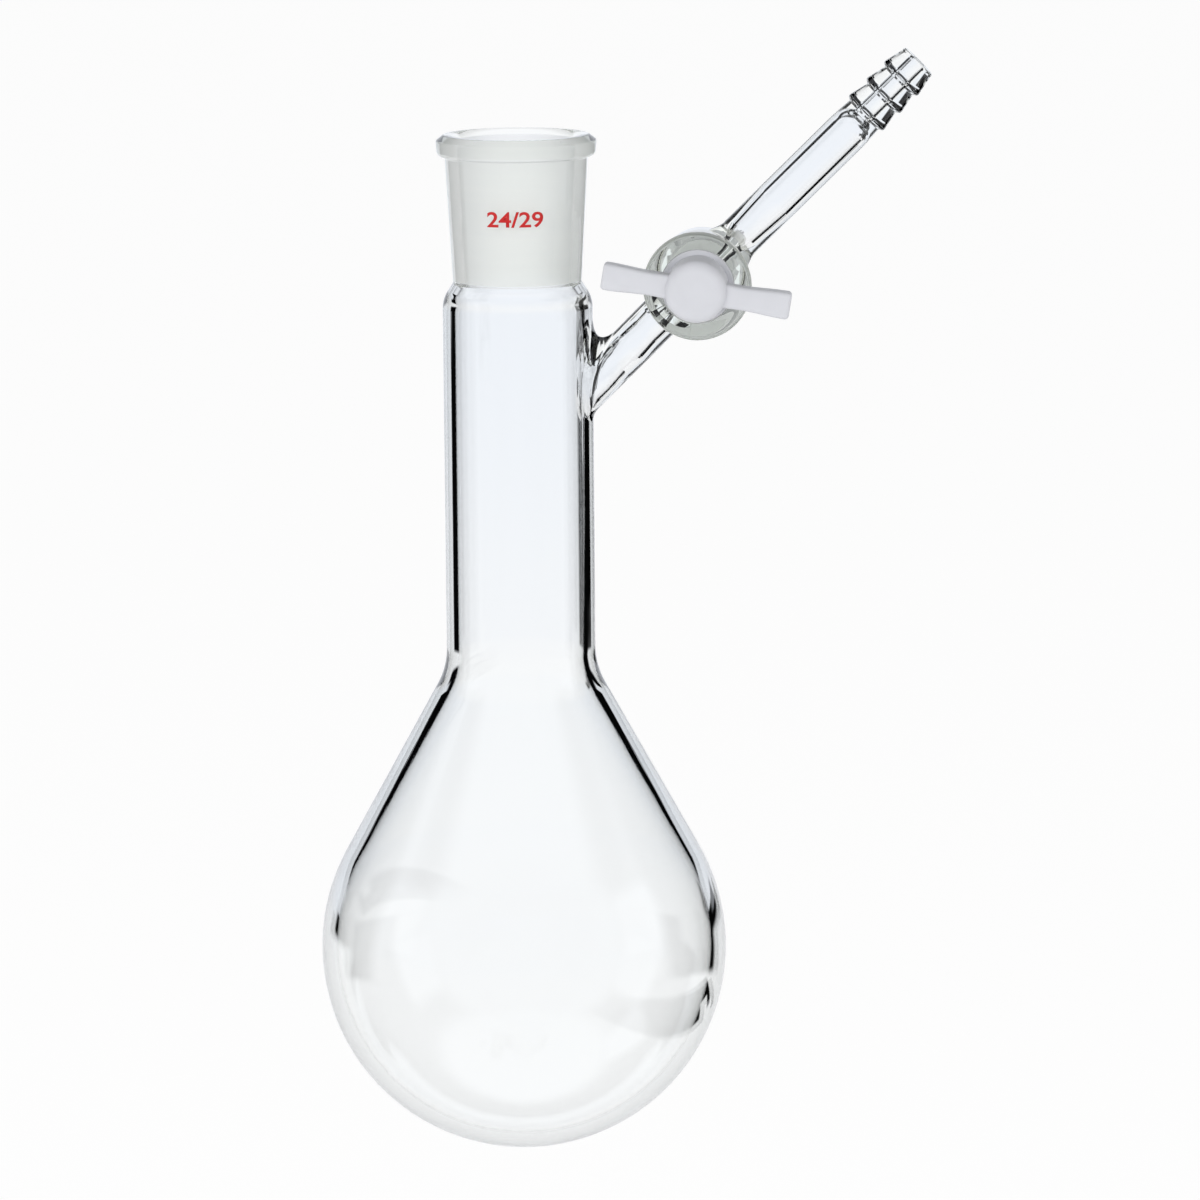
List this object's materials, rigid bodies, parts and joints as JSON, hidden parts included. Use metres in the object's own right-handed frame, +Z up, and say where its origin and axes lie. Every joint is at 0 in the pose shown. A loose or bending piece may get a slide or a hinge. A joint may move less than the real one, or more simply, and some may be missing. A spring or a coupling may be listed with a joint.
{
  "type": "schlenk flask",
  "caption": "Pear-shaped clear glass flask with a ground socket and a side arm closed by a stopcock with a white T-handle, ending in a hose barb.",
  "frame": {"origin": "on the flask's axis, at the middle of the place where a clamp grips the neck, 80 mm below the rim", "axes": "+Z up along the flask's axis, +X towards the side arm, -Y towards the stopcock's handle"},
  "size_m": [0.1255, 0.083, 0.2257],
  "materials": {
    "clear_glass": "clear borosilicate glass, fire-polished, with ground inner cones",
    "white_ptfe": "white PTFE, turned and moulded, waxy",
    "black_rubber": "black rubber"
  },
  "bodies": {
    "flask": {"glass_flask": "clear_glass"},
    "plug": {"stopcock_plug": "white_ptfe"},
    "seals": {"plug_washer": "white_ptfe", "plug_o_ring": "black_rubber"},
    "nut": {"plug_nut": "white_ptfe"}
  },
  "joints": [
    {"name": "plug_turn", "type": "hinge", "parent": "flask", "child": "plug", "pos_m": [0.037, 0, 0.0509], "axis": [0, 1, 0], "continuous": true},
    {"name": "seal_slide", "type": "slide", "parent": "plug", "child": "seals", "axis": [0, 1, 0], "range_m": [0, 0.0025]},
    {"name": "nut_turn", "type": "hinge", "parent": "seals", "child": "nut", "pos_m": [0.037, 0.02, 0.0509], "axis": [0, 1, 0], "range_deg": [0, 720]}
  ],
  "couplings": [
    {"joint": "nut_turn", "follows": "seal_slide", "rad_per_m": 5026.5}
  ]
}
